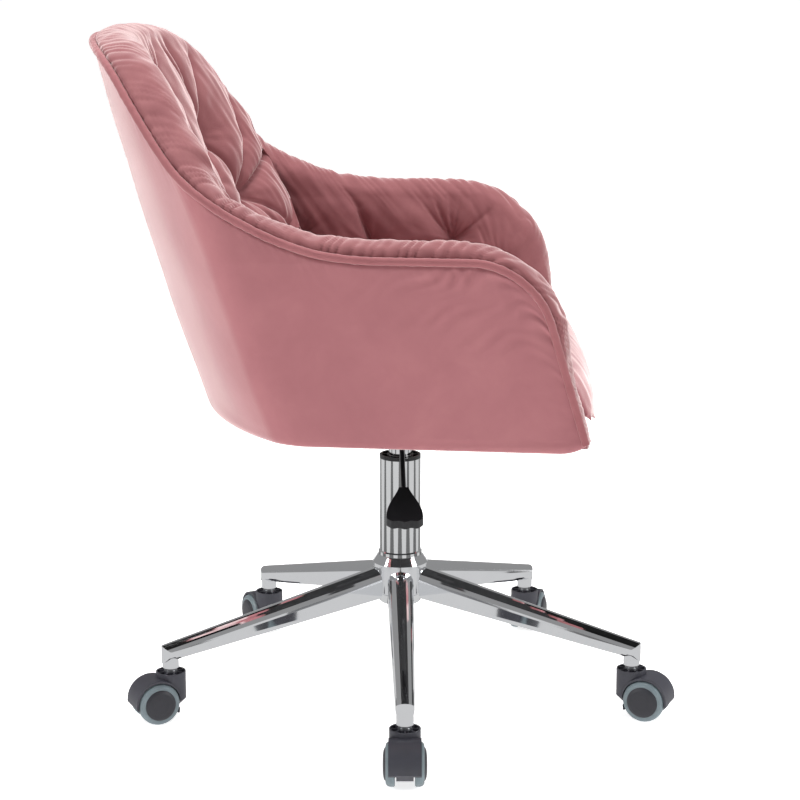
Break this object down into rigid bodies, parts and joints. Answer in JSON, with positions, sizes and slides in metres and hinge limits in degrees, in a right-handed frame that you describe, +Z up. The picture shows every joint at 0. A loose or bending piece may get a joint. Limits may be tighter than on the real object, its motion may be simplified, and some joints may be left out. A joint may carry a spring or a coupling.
{
  "type": "styling chair",
  "caption": "Upholstered tub chair with tufted back and padded arms on a gas-lift column, five-star chrome base and twin-wheel casters.",
  "frame": {"origin": "on the floor at the swivel axis", "axes": "+Z up along the column, -Y the way the sitter faces, +X to the sitter's left"},
  "size_m": [0.6444, 0.688, 0.8116],
  "materials": {
    "base_chrome": "polished",
    "column_chrome": "polished",
    "caster_steel": "zinc plated",
    "caster_plastic": "fine moulded texture",
    "bush_plastic": "moulded",
    "tyre": "smooth polyurethane",
    "plate_steel": "black powder coat",
    "lever_plastic": "moulded",
    "board_wood": "raw plywood",
    "dust_fabric": "nonwoven",
    "velvet": "short-pile velvet"
  },
  "bodies": {
    "base": {"hub": "base_chrome", "leg_1": "base_chrome", "leg_2": "base_chrome", "leg_3": "base_chrome", "leg_4": "base_chrome", "leg_5": "base_chrome", "column_tube": "column_chrome", "guide_bush": "bush_plastic"},
    "caster_1": {"caster_stem_1": "caster_steel", "caster_hood_1": "caster_plastic", "caster_axle_1": "caster_steel"},
    "wheel_1a": {"wheel_1a": "caster_plastic", "tyre_1a": "tyre"},
    "wheel_1b": {"wheel_1b": "caster_plastic", "tyre_1b": "tyre"},
    "caster_2": {"caster_stem_2": "caster_steel", "caster_hood_2": "caster_plastic", "caster_axle_2": "caster_steel"},
    "wheel_2a": {"wheel_2a": "caster_plastic", "tyre_2a": "tyre"},
    "wheel_2b": {"wheel_2b": "caster_plastic", "tyre_2b": "tyre"},
    "caster_3": {"caster_stem_3": "caster_steel", "caster_hood_3": "caster_plastic", "caster_axle_3": "caster_steel"},
    "wheel_3a": {"wheel_3a": "caster_plastic", "tyre_3a": "tyre"},
    "wheel_3b": {"wheel_3b": "caster_plastic", "tyre_3b": "tyre"},
    "caster_4": {"caster_stem_4": "caster_steel", "caster_hood_4": "caster_plastic", "caster_axle_4": "caster_steel"},
    "wheel_4a": {"wheel_4a": "caster_plastic", "tyre_4a": "tyre"},
    "wheel_4b": {"wheel_4b": "caster_plastic", "tyre_4b": "tyre"},
    "caster_5": {"caster_stem_5": "caster_steel", "caster_hood_5": "caster_plastic", "caster_axle_5": "caster_steel"},
    "wheel_5a": {"wheel_5a": "caster_plastic", "tyre_5a": "tyre"},
    "wheel_5b": {"wheel_5b": "caster_plastic", "tyre_5b": "tyre"},
    "swivel": {"thrust_bearing": "caster_steel", "piston_rod": "caster_steel"},
    "seat": {"gas_cylinder": "column_chrome", "seat_plate": "plate_steel", "plate_bolts": "caster_steel", "seat_board": "board_wood", "dust_cover": "dust_fabric", "shell_frame": "board_wood", "outer_cover": "velvet", "piping": "velvet", "arm_pad_right": "velvet", "arm_pad_left": "velvet", "back_pad": "velvet", "seat_cushion": "velvet"},
    "lever": {"lever_rod": "lever_plastic", "lever_paddle": "lever_plastic"},
    "release_pin": {"release_pin": "caster_steel"}
  },
  "joints": [
    {"name": "caster_swivel_1", "type": "hinge", "parent": "base", "child": "caster_1", "pos_m": [-0.28877, -0.0116, 0.06], "axis": [0, 0, 1], "continuous": true},
    {"name": "wheel_spin_1a", "type": "hinge", "parent": "caster_1", "child": "wheel_1a", "pos_m": [-0.30926, -0.01203, 0.025], "axis": [0.0209, -0.9998, 0], "continuous": true},
    {"name": "wheel_spin_1b", "type": "hinge", "parent": "caster_1", "child": "wheel_1b", "pos_m": [-0.30926, -0.01203, 0.025], "axis": [0.0209, -0.9998, 0], "continuous": true},
    {"name": "caster_swivel_2", "type": "hinge", "parent": "base", "child": "caster_2", "pos_m": [-0.0782, -0.27822, 0.06], "axis": [0, 0, 1], "continuous": true},
    {"name": "wheel_spin_2a", "type": "hinge", "parent": "caster_2", "child": "wheel_2a", "pos_m": [-0.08575, -0.29728, 0.025], "axis": [0.9298, -0.3681, 0], "continuous": true},
    {"name": "wheel_spin_2b", "type": "hinge", "parent": "caster_2", "child": "wheel_2b", "pos_m": [-0.08575, -0.29728, 0.025], "axis": [0.9298, -0.3681, 0], "continuous": true},
    {"name": "caster_swivel_3", "type": "hinge", "parent": "base", "child": "caster_3", "pos_m": [0.24044, -0.16035, 0.06], "axis": [0, 0, 1], "continuous": true},
    {"name": "wheel_spin_3a", "type": "hinge", "parent": "caster_3", "child": "wheel_3a", "pos_m": [0.26034, -0.16524, 0.025], "axis": [0.2385, 0.9711, 0], "continuous": true},
    {"name": "wheel_spin_3b", "type": "hinge", "parent": "caster_3", "child": "wheel_3b", "pos_m": [0.26034, -0.16524, 0.025], "axis": [0.2385, 0.9711, 0], "continuous": true},
    {"name": "caster_swivel_4", "type": "hinge", "parent": "base", "child": "caster_4", "pos_m": [0.2268, 0.17912, 0.06], "axis": [0, 0, 1], "continuous": true},
    {"name": "wheel_spin_4a", "type": "hinge", "parent": "caster_4", "child": "wheel_4a", "pos_m": [0.24469, 0.18912, 0.025], "axis": [-0.4879, 0.8729, 0], "continuous": true},
    {"name": "wheel_spin_4b", "type": "hinge", "parent": "caster_4", "child": "wheel_4b", "pos_m": [0.24469, 0.18912, 0.025], "axis": [-0.4879, 0.8729, 0], "continuous": true},
    {"name": "caster_swivel_5", "type": "hinge", "parent": "base", "child": "caster_5", "pos_m": [-0.10026, 0.27105, 0.06], "axis": [0, 0, 1], "continuous": true},
    {"name": "wheel_spin_5a", "type": "hinge", "parent": "caster_5", "child": "wheel_5a", "pos_m": [-0.10915, 0.28952, 0.025], "axis": [-0.9011, -0.4337, 0], "continuous": true},
    {"name": "wheel_spin_5b", "type": "hinge", "parent": "caster_5", "child": "wheel_5b", "pos_m": [-0.10915, 0.28952, 0.025], "axis": [-0.9011, -0.4337, 0], "continuous": true},
    {"name": "seat_swivel", "type": "hinge", "parent": "base", "child": "swivel", "pos_m": [0, 0, 0.2], "axis": [0, 0, 1], "continuous": true},
    {"name": "height_adjust", "type": "slide", "parent": "swivel", "child": "seat", "axis": [0, 0, 1], "range_m": [0, 0.1]},
    {"name": "lever_lift", "type": "hinge", "parent": "seat", "child": "lever", "pos_m": [-0.02348, -0.00098, 0.3524], "axis": [-0.0419, 0.9991, 0], "range_deg": [0, 8], "stiffness_Nm_per_rad": 3},
    {"name": "pin_press", "type": "slide", "parent": "seat", "child": "release_pin", "axis": [0, 0, 1], "range_m": [-0.0034, 0]}
  ],
  "couplings": [
    {"joint": "pin_press", "follows": "lever_lift", "m_per_rad": -0.0235}
  ]
}
